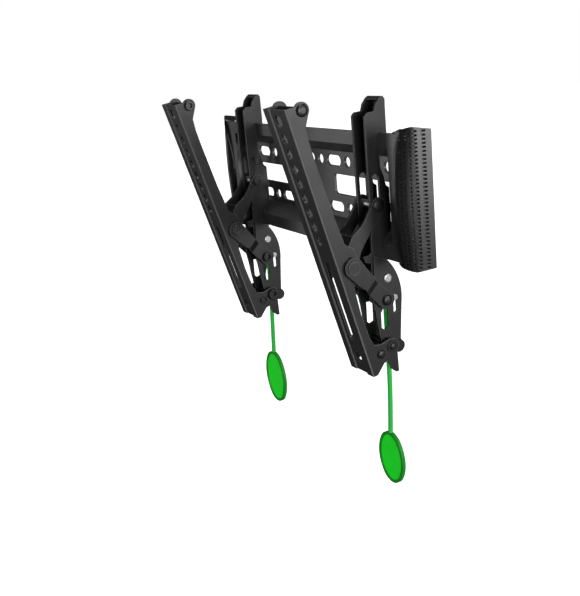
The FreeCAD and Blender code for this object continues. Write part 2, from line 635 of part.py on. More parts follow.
def make_latch(side):
    """A flat latch with a hooked tip behind the lower rail and a lug for the pull cord."""
    body = new_body("latch_" + side)
    face = sketch_on(body, "YZ_Plane", body.Label + "_face")
    tooth_front = "%s + plate_sheet + lip_gap" % LIP
    tooth_back = "%s + plate_sheet + lip_gap + latch_tooth" % LIP
    under_rail = "pivot_drop - rail_top - 3.2"
    outline(face, [
        ("cord_y - lug_half", "cord_top"), ("cord_y + lug_half", "cord_top"),
        ("latch_pin_y + 3", "latch_pin_z + 4"), (tooth_back, "pivot_drop - rail_top - 10"),
        (tooth_back, "latch_tip - 2.5"), (tooth_front + " + 1", "latch_tip"),
        (tooth_front, "latch_tip - 0.8"), (tooth_front, under_rail),
        (LIP + " - rail_gap - 0.2", under_rail), (LIP + " - 1", "spring_high + 3.5"),
        ("spring_y - 2.8", "spring_high + 3.5"), ("spring_y - 2.8", "spring_high"),
        ("spring_y + 3.1", "spring_high"), ("spring_y + 3.1", "spring_low - 3"),
        ("link_axle_y - 5.1", "spring_low - 4.5"), ("link_axle_y - 5.1", "link_axle_z - 4.4"),
        ("cord_y - lug_half - 0.6", "link_axle_z - 4.4")])
    pad(body, face, "latch_thick")
    holes = sketch_on(body, "YZ_Plane", body.Label + "_holes")
    slot(holes, "link_axle_y", "link_axle_z", "link_axle_y", "link_axle_z + latch_travel",
         "axle_radius + pin_gap * 0.7")
    ring(holes, "latch_pin_y", "latch_pin_z", "latch_pin_radius")
    pocket(body, holes, "2 * latch_thick")
    place(body, side)
    return body


def make_latch_pin(side):
    """The guide pin that shows in the side plates' slots."""
    reach = "(%s + 0.1)" % PLATE_OUT
    profile = [("-%s - latch_pin_cap" % reach, "0"),
               ("-%s - latch_pin_cap" % reach, "latch_pin_head"), ("-" + reach, "latch_pin_head"),
               ("-" + reach, "latch_pin_radius"), (reach, "latch_pin_radius"),
               (reach, "latch_pin_head"), (reach + " + latch_pin_cap", "latch_pin_head"),
               (reach + " + latch_pin_cap", "0")]
    solid = keep("latch_pin_" + side, turned("latch_pin_" + side, profile))
    place(solid, side, at=("0", "latch_pin_y", "latch_pin_z"))
    return solid


def make_latch_spring(side):
    """A coil spring on the seat's peg that pushes the latch up."""
    node = doc.addObject("Part::Feature", "latch_spring_" + side)
    wire = number("spring_wire") / 2
    height = number("spring_high - spring_low") - 2 * wire
    radius = number("spring_radius")
    helix = Part.makeHelix(height / number("spring_turns"), height, radius)
    corners = [FreeCAD.Vector(radius + wire * math.cos(turn * math.pi / 3), 0,
                              wire * math.sin(turn * math.pi / 3)) for turn in range(6)]
    section = Part.makePolygon(corners + corners[:1])
    node.Shape = Part.Wire(helix).makePipeShell([section], True, True)
    keep("latch_spring_" + side, node)
    place(node, side, at=("0", "spring_y", "spring_low + spring_wire / 2"))
    return node


def cord_tube(points, radius):
    """A tube of straight runs joined by tangent arcs, and its path's arc radii."""
    edges, radii = [], []
    start = points[0]
    for before, corner, after in zip(points, points[1:], points[2:]):
        arrive = (corner - before).normalize()
        leave = (after - corner).normalize()
        turn = arrive.getAngle(leave)
        shorter = min(corner.distanceToPoint(before), after.distanceToPoint(corner))
        cut = 0.45 * shorter
        radii.append(cut / math.tan(turn / 2))
        first, last = corner - arrive * cut, corner + leave * cut
        towards = (leave - arrive).normalize()
        centre_gap = radii[-1] / math.cos(turn / 2)
        middle = corner + towards * (centre_gap - radii[-1])
        edges.append(Part.LineSegment(start, first).toShape())
        edges.append(Part.Arc(first, middle, last).toShape())
        start = last
    edges.append(Part.LineSegment(start, points[-1]).toShape())
    path = Part.Wire(edges)
    heading = points[1] - points[0]
    section = Part.Wire(Part.makeCircle(radius, points[0], heading))
    tube = path.makePipeShell([section], True, False)
    ideal = math.pi * radius ** 2 * path.Length
    if abs(tube.Volume / ideal - 1) > 0.01:
        raise ValueError("cord tube volume %.1f, expected %.1f" % (tube.Volume, ideal))
    print("cord length %.1f, arc radii %s" % (path.Length, [round(r) for r in radii]))
    return tube


def make_pull(side):
    """The green pull cord below the latch's lug, and the oval tab on its end."""
    node = doc.addObject("Part::Feature", "pull_cord_" + side)
    route = [(number("cord_y"), number("cord_top"))] + CORD_BENDS[side]
    route.append((number("end_y_" + side), number("end_z_" + side)))
    points = [FreeCAD.Vector(0, y, z) for y, z in route]
    node.Shape = cord_tube(points, number("cord_radius"))
    keep("pull_cord_" + side, node)
    place(node, side)

    body = new_body("pull_tab_" + side)

    def oval(sketch, inset):
        half = "(tab_wide_%s / 2 - %s)" % (side, inset)
        tall = "(tab_high_%s / 2 - %s)" % (side, inset)
        middle = "tab_high_%s / 2" % side
        low, high = "-%s - %s * 0.7071" % (middle, tall), "%s * 0.7071 - %s" % (tall, middle)
        x = half + " * 0.7071"
        outline(sketch, [
            ("-" + x, low), ("0", "-%s - %s" % (middle, tall), "arc"), (x, low),
            (half, "-" + middle, "arc"), (x, high), ("0", "%s - %s" % (tall, middle), "arc"),
            ("-" + x, high), ("-" + half, "-" + middle, "arc")])
    rim = sketch_on(body, "XZ_Plane", body.Label + "_rim")
    oval(rim, "0")
    pad(body, rim, "tab_thick")
    field = sketch_on(body, "XZ_Plane", body.Label + "_field", "tab_web / 2")
    oval(field, "tab_rim")
    pocket(body, field, "tab_thick", symmetric=False, reverse=True)
    other = sketch_on(body, "XZ_Plane", body.Label + "_other", "-tab_web / 2")
    oval(other, "tab_rim")
    pocket(body, other, "tab_thick", symmetric=False)
    place(body, side, at=("0", "end_y_" + side, "end_z_" + side))
    return body


# Television arm and links


def make_arm(side):
    """A U channel that takes the television's screws, with ears, a lobe and a toothed foot."""
    body = new_body("tv_arm_" + side)
    flange = sketch_on(body, "YZ_Plane", body.Label + "_side")
    outline(flange, [
        ("-arm_face", "-arm_low"), ("-arm_face + 4.3", "-arm_low - 0.6"),
        ("stop_y + 0.5", "-9.8"), ("stop_y + 4.7", "-9.6"), ("-6.9", "-17.8"),
        ("-3.4", "-23"), ("-0.8", "-23.4"), ("3.4", "-5.5"), ("6.5", "0", "arc"),
        ("3.4", "5.5"), ("0", "6.8"), ("-9.5", "6.8"), ("-15.5", "9.5"), ("-17.2", "17"),
        ("-17.8", "38.6"), ("-16.2", ELBOW_Z + " - 15"), ("-12", ELBOW_Z + " - 11.5"),
        (ELBOW_Y + " + 6.4", ELBOW_Z + " - 8"),
        (ELBOW_Y + " + 6.4", ELBOW_Z + " + elbow_travel + 8"),
        (ELBOW_Y, ELBOW_Z + " + elbow_travel + 14.5"), ("-14.1", "123"), ("-14.6", "165"),
        ("ear_y - 2.3", "ear_z - 21"), ("ear_y - 1.3", "ear_z - 12.5"),
        ("ear_y + 4.4", "ear_z - 4.1"), ("ear_y + ear_radius", "ear_z", "arc"),
        ("ear_y - 4.2", "ear_z + 4.2"), ("-arm_face", "arm_top")])
    pad(body, flange, "2 * " + ARM_HALF)
    round_edges(body, "arm_sheet * 0.8", lambda edge: long_front_edge(edge))

    hollow = sketch_on(body, "YZ_Plane", body.Label + "_hollow")
    outline(hollow, [("arm_sheet - arm_face", "-arm_low - 20"),
                     ("arm_sheet - arm_face", "arm_top + 9"), ("25", "arm_top + 9"),
                     ("25", "-arm_low - 20")])
    pocket(body, hollow, "2 * " + ARM_IN)

    rib = sketch_on(body, "XY_Plane", body.Label + "_rib", "arm_top - 1.2")
    back = "arm_sheet - arm_face"
    outline(rib, [("-trough_half - 1.4", back + " - 0.5"), ("trough_half + 1.4", back + " - 0.5"),
                  ("trough_half + 1.4", back), ("trough_half + 0.4", back + " + trough_deep"),
                  ("-trough_half - 0.4", back + " + trough_deep"), ("-trough_half - 1.4", back)])
    pad(body, rib, "arm_top + arm_low - 1.2", symmetric=False, reverse=True)
    trough = sketch_on(body, "XY_Plane", body.Label + "_trough", "arm_top + 1")
    outline(trough, [("-trough_half", "-arm_face - 1"), ("trough_half", "-arm_face - 1"),
                     ("trough_half", "-arm_face"),
                     ("trough_half - trough_draft", "trough_deep - arm_face"),
                     ("trough_draft - trough_half", "trough_deep - arm_face"),
                     ("-trough_half", "-arm_face")])
    pocket(body, trough, "arm_top + arm_low + 5", symmetric=False)

    face = sketch_on(body, "XZ_Plane", body.Label + "_bolt_holes", "arm_face")
    ring(face, "0", "bolt_top", "bolt_hole")
    ring(face, "0", "bolt_top - bolt_span", "bolt_hole")
    slot(face, "0", "arm_slot_low + arm_slot_wide / 2", "0",
         "arm_slot_high - arm_slot_wide / 2", "arm_slot_wide / 2")
    pocket(body, face, "4 * arm_sheet")
    small = sketch_on(body, "XZ_Plane", body.Label + "_small_hole", "arm_face")
    ring(small, "0", "small_first", "small_hole")
    cut = pocket(body, small, "4 * arm_sheet")
    copies = body.newObject("PartDesign::LinearPattern", body.Label + "_small_holes")
    copies.Originals = [cut]
    copies.Direction = (small, ["V_Axis"])
    copies.Reversed = True
    copies.setExpression("Length", bind("7 * small_pitch"))
    copies.Occurrences = 8
    body.Tip = copies
    doc.recompute()

    holes = sketch_on(body, "YZ_Plane", body.Label + "_pivot_holes")
    ring(holes, "0", "0", "axle_radius + axle_gap")
    ring(holes, "ear_y", "ear_z", "ear_bolt")
    ring(holes, "stop_y", "stop_z", "stop_bolt")
    slot(holes, ELBOW_Y, ELBOW_Z + " - pin_gap", ELBOW_Y, ELBOW_Z + " + elbow_travel + pin_gap",
         "axle_radius + pin_gap")
    pocket(body, holes, "2 * %s + 2" % ARM_HALF)
    place(body, side, arm_turn())
    return body


def long_front_edge(edge):
    """The two long bend edges of the arm's face."""
    if not isinstance(edge.Curve, Part.Line) or edge.Length < number("arm_top"):
        return False
    return abs(edge.CenterOfMass.y + number("arm_face")) < 0.01


def arm_turn():
    return FreeCAD.Rotation(ALONG_X, number("tilt_rest"))


def on_arm(y, z):
    """A place on the tilted arm, from the tilt pivot."""
    return ("0", "(%s * cos(tilt_rest) - %s * sin(tilt_rest))" % (y, z),
            "(%s * sin(tilt_rest) + %s * cos(tilt_rest))" % (y, z))


def make_arm_bolts(side):
    ear, turn = headed_axle("ear_bolt", side, ARM_HALF, "ear_bolt", dome("ear_head", "head_high"),
                            "ear_head", "head_high", "ear_bolt * 0.9")
    place(ear, side, turn, on_arm("ear_y", "ear_z"))
    stop, turn = headed_axle("stop_bolt", side, ARM_HALF, "stop_bolt",
                             dome("stop_head", "head_high"), "stop_head", "head_high * 0.6",
                             "stop_bolt")
    place(stop, side, turn, on_arm("stop_y", "stop_z"))


def link_plan(sketch, long, near, far, front, back):
    """Side view of a link: an eye at each end, and the edges of the bar between them."""
    outline(sketch, [
        (near + " * -0.3", near + " * 0.954"), ("-" + near, "0", "arc"),
        (near + " * -0.3", near + " * -0.954")]
        + [(along, "-(%s)" % out) for along, out in back]
        + [("%s - %s * 0.15" % (long, far), far + " * -0.988"),
           ("%s + %s" % (long, far), "0", "arc"),
           ("%s - %s * 0.15" % (long, far), far + " * 0.988")]
        + front[::-1])


def make_lower_link(side):
    """A U link from the side plates' axle out and round the arm to the elbow axle."""
    body = new_body("lower_link_" + side)
    view = sketch_on(body, "YZ_Plane", body.Label + "_side")
    link_plan(view, "lower_long", "eye_low", "eye_high",
              [("web_from - 7", "waist_front + 0.2"), ("web_from", "waist_front"),
               ("web_to", "waist_front + 0.3"), ("lower_long * 0.78", "waist_front + 1.4")],
              [("web_from - 7", "waist_back + 0.1"), ("web_from - 2", "waist_back"),
               ("lower_long * 0.8", "waist_back + 1.7")])
    pad(body, view, "2 * (%s + link_sheet)" % ELBOW_IN)

    plan = sketch_on(body, "XY_Plane", body.Label + "_inside")
    inner_near, inner_far = LINK_IN, ELBOW_IN
    outline(plan, [("-" + inner_near, "-20"), (inner_near, "-20"), (inner_near, "joggle_from"),
                   (inner_far, "joggle_to"), (inner_far, "lower_long + 20"),
                   ("-" + inner_far, "lower_long + 20"), ("-" + inner_far, "joggle_to"),
                   ("-" + inner_near, "joggle_from")])
    pocket(body, plan, "60")
    for sign in ("", "-"):
        outside = sketch_on(body, "XY_Plane", "%s_outside_%s" % (body.Label, sign and "b" or "a"))
        near = "%s(%s + link_sheet)" % (sign, inner_near)
        far = "%s(%s + link_sheet)" % (sign, inner_far)
        beyond = "%s(%s + link_sheet + 5)" % (sign, inner_far)
        outline(outside, [(near, "-20"), (near, "joggle_from + link_sheet * 0.35"),
                          (far, "joggle_to + link_sheet * 0.35"), (beyond, "joggle_to + 1"),
                          (beyond, "-20")])
        pocket(body, outside, "60")
    web = sketch_on(body, "YZ_Plane", body.Label + "_web")
    outline(web, [("web_from", "waist_front - web_thick"), ("web_to", "waist_front - web_thick"),
                  ("web_to", "waist_front"), ("web_from", "waist_front")])
    pad(body, web, "2 * (%s + 0.4)" % inner_far)
    holes = sketch_on(body, "YZ_Plane", body.Label + "_holes")
    ring(holes, "0", "0", "axle_radius + axle_gap")
    ring(holes, "lower_long", "0", "axle_radius")
    pocket(body, holes, "80")
    turn = FreeCAD.Rotation(ALONG_X, number("lower_angle"))
    place(body, side, turn, ("0", "link_axle_y", "link_axle_z"))
    return body


def make_elbow(side):
    half = "(%s + link_sheet)" % ELBOW_IN
    head = [("0", "elbow_head"), ("elbow_cap", "elbow_head"), ("elbow_cap", "elbow_head - 0.3"),
            ("elbow_cap * 0.3", "elbow_head - 0.4"), ("elbow_cap * 0.3", "elbow_head - 0.7"),
            ("elbow_cap", "elbow_head - 0.8"), ("elbow_cap", "0")]
    solid, turn = headed_axle("elbow_axle", side, half, "axle_radius", head, "elbow_head",
                              "elbow_cap * 2", "socket")
    place(solid, side, turn, ("0", ELBOW_OUT, ELBOW_UP))
    return solid


def make_upper_link(side):
    """A U link from the elbow up to the pin that slides in the hook bracket."""
    body = new_body("upper_link_" + side)
    view = sketch_on(body, "YZ_Plane", body.Label + "_side")
    link_plan(view, "upper_long", "eye_high", "eye_slide",
              [("web_low - 5", "web_front - 0.2"), ("web_low", "web_front"),
               ("web_high", "web_crown"), ("web_high + 10", "5.6"),
               ("upper_long * 0.74", "5.1")],
              [("web_low - 2.5", "6.2"), ("web_low + 4", "4.3"), ("web_high + 3", "4.2"),
               ("upper_long * 0.74", "4.6")])
    pad(body, view, "2 * (%s + upper_sheet)" % UPPER_IN)
    inside = sketch_on(body, "YZ_Plane", body.Label + "_inside")
    outline(inside, [
        ("-20", "-20"), ("upper_long + 20", "-20"), ("upper_long + 20", "20"), ("web_high", "20"),
        ("web_high", "web_crown - web_thick"), ("web_low", "web_front - web_thick"),
        ("web_low", "20"), ("-20", "20")])
    pocket(body, inside, "2 * " + UPPER_IN)
    holes = sketch_on(body, "YZ_Plane", body.Label + "_holes")
    ring(holes, "0", "0", "axle_radius + axle_gap")
    ring(holes, "upper_long", "0", "axle_radius")
    pocket(body, holes, "60")
    turn = FreeCAD.Rotation(ALONG_X, number("upper_angle"))
    place(body, side, turn, ("0", ELBOW_OUT, ELBOW_UP))
    return body


def make_slide_pin(side):
    half = "(%s + upper_sheet)" % UPPER_IN
    solid, turn = headed_axle("slide_pin", side, half, "axle_radius",
                              dome("slide_head", "head_high * 0.7"), "slide_head",
                              "head_high * 0.6", "socket * 0.9")
    place(solid, side, turn, ("0", SLIDE_Y, SLIDE_Z))
    return solid


def check_model():
    """Stop if any feature failed or any piece has no sound shape."""
    doc.recompute()
    failed = [item.Label for item in doc.Objects
              if "Invalid" in item.State or "Error" in item.State]
    if failed:
        raise ValueError("failed features: " + ", ".join(failed))
    for node in NODES:
        if node.Shape.isNull() or not node.Shape.isValid():
            raise ValueError("bad shape: " + node.Label)


def write_parts():
    os.makedirs("parts", exist_ok=True)
    for node in NODES:
        node.Shape.exportStep(os.path.join("parts", node.Label + ".step"))
    print("%d pieces written" % len(NODES))


make_wall_plate()
make_cover("end_cover_left", True)
make_cover("end_cover_right", False)
for hanger in ("left", "right"):
    make_hook_bracket(hanger)
    make_side_plate(hanger, "near", 1)
    make_side_plate(hanger, "far", -1)
    make_rivets(hanger)
    make_boss_bolts(hanger)
    make_link_axle(hanger)
    make_pivot(hanger)
    make_spring_seat(hanger)
    make_latch(hanger)
    make_latch_pin(hanger)
    make_latch_spring(hanger)
    make_pull(hanger)
    make_arm(hanger)
    make_arm_bolts(hanger)
    make_lower_link(hanger)
    make_elbow(hanger)
    make_upper_link(hanger)
    make_slide_pin(hanger)
check_model()
write_parts()
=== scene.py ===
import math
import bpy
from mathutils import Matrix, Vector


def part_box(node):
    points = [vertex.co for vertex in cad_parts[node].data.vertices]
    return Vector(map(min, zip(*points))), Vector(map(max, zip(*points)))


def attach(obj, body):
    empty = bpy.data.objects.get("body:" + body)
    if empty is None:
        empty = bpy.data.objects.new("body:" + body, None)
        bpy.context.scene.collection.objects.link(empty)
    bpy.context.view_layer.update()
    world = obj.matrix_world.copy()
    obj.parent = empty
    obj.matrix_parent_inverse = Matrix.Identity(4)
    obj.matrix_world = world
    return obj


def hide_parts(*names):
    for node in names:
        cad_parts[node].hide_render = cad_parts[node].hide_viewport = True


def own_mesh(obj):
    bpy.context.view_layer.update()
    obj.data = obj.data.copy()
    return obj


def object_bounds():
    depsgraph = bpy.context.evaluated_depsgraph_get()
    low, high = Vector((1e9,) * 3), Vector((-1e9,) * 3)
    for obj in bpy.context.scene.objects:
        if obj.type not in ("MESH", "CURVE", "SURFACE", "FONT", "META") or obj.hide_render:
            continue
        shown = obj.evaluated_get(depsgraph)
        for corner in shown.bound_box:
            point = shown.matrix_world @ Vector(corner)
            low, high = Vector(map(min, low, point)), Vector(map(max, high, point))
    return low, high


bl_info = {
    "name": "Tilting Television Mount",
    "version": (1, 0, 0),
    "blender": (4, 5, 0),
    "location": "View3D > Sidebar > Mount",
    "description": "Finishes, vents, pull cords and studio for a tilting television wall mount",
    "category": "Object",
}

import bpy
from mathutils import Matrix, Vector

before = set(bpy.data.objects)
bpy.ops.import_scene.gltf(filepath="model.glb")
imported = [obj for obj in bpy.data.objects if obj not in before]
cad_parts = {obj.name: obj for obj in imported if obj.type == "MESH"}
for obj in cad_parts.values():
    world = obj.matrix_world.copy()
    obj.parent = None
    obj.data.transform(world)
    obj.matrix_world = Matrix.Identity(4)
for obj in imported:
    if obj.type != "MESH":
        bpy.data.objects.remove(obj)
CAD_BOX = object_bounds()

# The two hangers, and where each stands along the rails.
SIDES = ("left", "right")
STATION = {"left": -0.090, "right": 0.110}

# The pull cords' routes below the latches, by hanger.
CORD_ROUTE = {
    "left": [(-0.090, -0.0126, -0.08765), (-0.090, -0.0138, -0.12665),
             (-0.090, -0.0156, -0.15665), (-0.090, -0.0173, -0.18615)],
    "right": [(0.110, -0.0126, -0.08765), (0.110, -0.0129, -0.12665),
              (0.110, -0.0128, -0.16265), (0.110, -0.0154, -0.20245)],
}

# A tab's rim, and half of a slide pin's bare shaft.
TAB_RIM = 0.0026
SHAFT_HALF = 0.0112

# The colour of a painted highlight, laid along sheared edges and on an arm's folded corners. An
# arm's folded corner faces half aside and half the way that its leaning front faces, here without
# signs because both corners count.
HIGHLIGHT_COLOUR = "#8A8A8E"
ARM_HIGHLIGHT_FACING = (0.707, 0.683, 0.183)

# A wave texture draws about this many bands for each unit of its scale.
WAVE_BANDS = 3.2

# The vents' places are found by rays from in front of a cover, whose triangles are merged.
RAY_FROM = -0.05
RAY_LONG = 0.1
MERGE = 0.00001

# A camera that matches the photograph's.
SENSOR_MM = 36.0
LENS_MM = 50.12
CAMERA_AT = (0.6363, -0.3804, 0.1195)
CAMERA_RIGHT = (0.4939, 0.8647, -0.0917)
CAMERA_BACK = (0.8432, -0.4505, 0.2935)

# The studio: its softboxes, the point that they face, and its paper.
SOFTBOX_WIDE = 0.7
SOFTBOX_AT = {"right": (1.445, 0.644, 0.119), "near": (1.559, -0.361, 0.119),
              "left": (-1.071, -1.219, -0.020)}
AIM = (0.0, -0.03, -0.02)
SUN_SPREAD = math.radians(40)
FLOOR_HALF = 9.0
PAPER = "#F4F4F4"
PAPER_SHADE = "#5A5A5A"
PAPER_GLOW = 0.68
WHITE = (1.0, 1.0, 1.0, 1.0)


# Colours and nodes


def linear(code):
    """The linear colour of an sRGB hex value, with full alpha."""
    channels = [int(code[index:index + 2], 16) / 255 for index in (1, 3, 5)]
    return tuple(part / 12.92 if part <= 0.04045 else ((part + 0.055) / 1.055) ** 2.4
                 for part in channels) + (1.0,)


def toned(code, factor):
    """The linear colour of an sRGB hex value, made darker or lighter by a factor."""
    return tuple(part * factor for part in linear(code)[:3]) + (1.0,)


def per_metre(millimetres):
    """A pattern's scale from the real size of its grain in millimetres."""
    return 1000.0 / millimetres


def add(tree, kind, sockets=None, **settings):
    """Add a node to a tree, set its options, and fill or link its inputs.

    A colour Mix node takes its two colours at inputs 6 and 7 and gives the result at output 2.
    """
    made = tree.nodes.new(kind)
    for name, value in settings.items():
        setattr(made, name, value)
    for name, value in (sockets or {}).items():
        if isinstance(value, bpy.types.NodeSocket):
            tree.links.new(value, made.inputs[name])
        else:
            made.inputs[name].default_value = value
    return made


def start_material(name):
    """A cleared material with its output, its surface shader and its object coordinates."""
    material = bpy.data.materials.new(name)
    material.use_nodes = True
    tree = material.node_tree
    tree.nodes.clear()
    surface = add(tree, "ShaderNodeBsdfPrincipled")
    output = add(tree, "ShaderNodeOutputMaterial")
    tree.links.new(surface.outputs["BSDF"], output.inputs["Surface"])
    place = add(tree, "ShaderNodeTexCoord").outputs["Object"]
    return material, tree, surface, place


def soft_edges(tree, radius_mm):
    """The normal that a sheared or moulded edge of that radius shows."""
    return add(tree, "ShaderNodeBevel", {"Radius": radius_mm / 1000.0}, samples=6).outputs["Normal"]


def powder_coated_steel(name, colour, rough, edge_mm=0.5, highlight_facing=None):
    """Black polyester powder, baked on pressed steel, with a painted highlight along its edges and
    on corners that face the given direction.
    """
    material, tree, surface, place = start_material(name)
    # A baked powder coat has a faint orange peel under a millimetre wide, and a satin sheen
    # that turns a little duller in patches as wide as a thumb.
    patches = add(tree, "ShaderNodeTexNoise", {
        "Vector": place, "Scale": per_metre(28), "Detail": 2.0})
    sheen = add(tree, "ShaderNodeMapRange", {
        "Value": patches.outputs["Fac"], "From Min": 0.3, "From Max": 0.7,
        "To Min": rough - 0.03, "To Max": rough + 0.05})
    shade = add(tree, "ShaderNodeMix", {
        0: patches.outputs["Fac"], 6: linear(colour), 7: toned(colour, 1.35)}, data_type="RGBA")
    # A fine paler line along every sheared edge is a painted highlight.
    rounded = soft_edges(tree, edge_mm)
    true = add(tree, "ShaderNodeNewGeometry").outputs["Normal"]
    same = add(tree, "ShaderNodeVectorMath", {0: rounded, 1: true}, operation="DOT_PRODUCT")
    edge_highlight = add(tree, "ShaderNodeMapRange", {
        "Value": same.outputs["Value"], "From Min": 0.97, "From Max": 0.8,
        "To Min": 0.0, "To Max": 0.8})
    highlight_mask = edge_highlight.outputs["Result"]
    # Faces that lie along the given direction, such as an arm's folded corners, get a painted
    # highlight as well.
    if highlight_facing:
        either = add(tree, "ShaderNodeVectorMath", {
            0: add(tree, "ShaderNodeTexCoord").outputs["Normal"]}, operation="ABSOLUTE")
        along = add(tree, "ShaderNodeVectorMath", {0: either.outputs["Vector"], 1: highlight_facing},
                    operation="DOT_PRODUCT")
        fold_highlight = add(tree, "ShaderNodeMapRange", {
            "Value": along.outputs["Value"], "From Min": 0.86, "From Max": 0.97,
            "To Min": 0.0, "To Max": 0.55})
        highlight_mask = add(tree, "ShaderNodeMath", {0: highlight_mask, 1: fold_highlight.outputs["Result"]},
                    operation="MAXIMUM").outputs["Value"]
    # Mix the painted highlight colour in where the mask is set.
    highlighted = add(tree, "ShaderNodeMix", {0: highlight_mask, 6: shade.outputs[2], 7: linear(HIGHLIGHT_COLOUR)},
               data_type="RGBA")
    peel = add(tree, "ShaderNodeTexNoise", {
        "Vector": place, "Scale": per_metre(0.9), "Detail": 1.0})
    bump = add(tree, "ShaderNodeBump", {
        "Strength": 0.22, "Distance": 0.00006, "Height": peel.outputs["Fac"], "Normal": rounded})
    tree.links.new(highlighted.outputs[2], surface.inputs["Base Color"])
    tree.links.new(sheen.outputs["Result"], surface.inputs["Roughness"])
    tree.links.new(bump.outputs["Normal"], surface.inputs["Normal"])
    return material


def moulded_abs(name, colour):
    """Black ABS from a spark-eroded mould."""
    material, tree, surface, place = start_material(name)
    # Spark erosion leaves an even leathery grain of about 0.25 mm. It is drawn at 0.5 mm so
    # that the render shows it.
    grain = add(tree, "ShaderNodeTexVoronoi", {"Vector": place, "Scale": per_metre(0.5)},
                feature="SMOOTH_F1")
    bump = add(tree, "ShaderNodeBump", {
        "Strength": 0.2, "Distance": 0.00005, "Height": grain.outputs["Distance"],
        "Normal": soft_edges(tree, 0.4)})
    haze = add(tree, "ShaderNodeTexNoise", {"Vector": place, "Scale": per_metre(18), "Detail": 2.0})
    rough = add(tree, "ShaderNodeMapRange", {
        "Value": haze.outputs["Fac"], "To Min": 0.25, "To Max": 0.34})
    surface.inputs["Base Color"].default_value = linear(colour)
    tree.links.new(rough.outputs["Result"], surface.inputs["Roughness"])
    tree.links.new(bump.outputs["Normal"], surface.inputs["Normal"])
    return material


def plated_steel(name, colour, rough, streak_mm):
    """Bright plated or drawn steel: a metal with fine turned or drawn marks."""
    material, tree, surface, place = start_material(name)
    # Barrel plating leaves a grey, slightly cloudy metal with marks a tenth of a millimetre
    # wide, drawn here a little coarser.
    clouds = add(tree, "ShaderNodeTexNoise", {
        "Vector": place, "Scale": per_metre(streak_mm * 8), "Detail": 3.0})
    dull = add(tree, "ShaderNodeMapRange", {
        "Value": clouds.outputs["Fac"], "To Min": rough - 0.06, "To Max": rough + 0.1})
    marks = add(tree, "ShaderNodeTexNoise", {
        "Vector": place, "Scale": per_metre(streak_mm), "Detail": 2.0})
    bump = add(tree, "ShaderNodeBump", {
        "Strength": 0.15, "Distance": 0.00003, "Height": marks.outputs["Fac"],
        "Normal": soft_edges(tree, 0.2)})
    surface.inputs["Base Color"].default_value = linear(colour)
    surface.inputs["Metallic"].default_value = 1.0
    tree.links.new(dull.outputs["Result"], surface.inputs["Roughness"])
    tree.links.new(bump.outputs["Normal"], surface.inputs["Normal"])
    return material


def black_oxide_steel(name, colour):
    """Blackened, oiled steel bolts with a soft shine."""
    material, tree, surface, place = start_material(name)
    # Oiled black oxide is nearly black, with a broad highlight and faint cloudy patches of a
    # millimetre or two.
    clouds = add(tree, "ShaderNodeTexNoise", {
        "Vector": place, "Scale": per_metre(2.2), "Detail": 3.0})
    oil = add(tree, "ShaderNodeMapRange", {
        "Value": clouds.outputs["Fac"], "To Min": 0.34, "To Max": 0.46})
    bump = add(tree, "ShaderNodeBump", {
        "Strength": 0.12, "Distance": 0.00004, "Height": clouds.outputs["Fac"],
        "Normal": soft_edges(tree, 0.3)})
    surface.inputs["Base Color"].default_value = linear(colour)
    tree.links.new(oil.outputs["Result"], surface.inputs["Roughness"])
    tree.links.new(bump.outputs["Normal"], surface.inputs["Normal"])
    return material


def moulded_polypropylene(name, colour, rim_shade_colour, box):
    """The green tab: a bright moulded plastic whose raised border is painted a deeper green as
    painted shade, and which has a painted glow.
    """
    material, tree, surface, place = start_material(name)
    flow = add(tree, "ShaderNodeTexNoise", {"Vector": place, "Scale": per_metre(9), "Detail": 2.0})
    field = add(tree, "ShaderNodeMix", {
        0: flow.outputs["Fac"], 6: toned(colour, 0.82), 7: linear(colour)}, data_type="RGBA")
    # The rim, painted a deeper green as painted shade, is what lies outside an oval drawn a rim's
    # width inside the tab's own outline.
    low, high = Vector(box[0]), Vector(box[1])
    half = (high - low) / 2
    oval = add(tree, "ShaderNodeMapping", {
        "Vector": place, "Location": (low + high) / 2,
        "Scale": (half.x - TAB_RIM, 1000.0, half.z - TAB_RIM)}, vector_type="TEXTURE")
    reach = add(tree, "ShaderNodeVectorMath", {0: oval.outputs["Vector"]}, operation="LENGTH")
    edge = add(tree, "ShaderNodeMapRange", {
        "Value": reach.outputs["Value"], "From Min": 0.985, "From Max": 1.01})
    shade = add(tree, "ShaderNodeMix", {
        0: edge.outputs["Result"], 6: field.outputs[2], 7: linear(rim_shade_colour)}, data_type="RGBA")
    bump = add(tree, "ShaderNodeBump", {
        "Strength": 0.08, "Distance": 0.0001, "Height": flow.outputs["Fac"],
        "Normal": soft_edges(tree, 0.5)})
    surface.inputs["Roughness"].default_value = 0.5
    surface.inputs["Specular IOR Level"].default_value = 0.2
    # Painted glow: the tab's own colours are given as emission, standing in for the white room's
    # light shining through the thin moulding.
    surface.inputs["Emission Strength"].default_value = 0.5
    tree.links.new(shade.outputs[2], surface.inputs["Emission Color"])
    tree.links.new(shade.outputs[2], surface.inputs["Base Color"])
    tree.links.new(bump.outputs["Normal"], surface.inputs["Normal"])
    return material


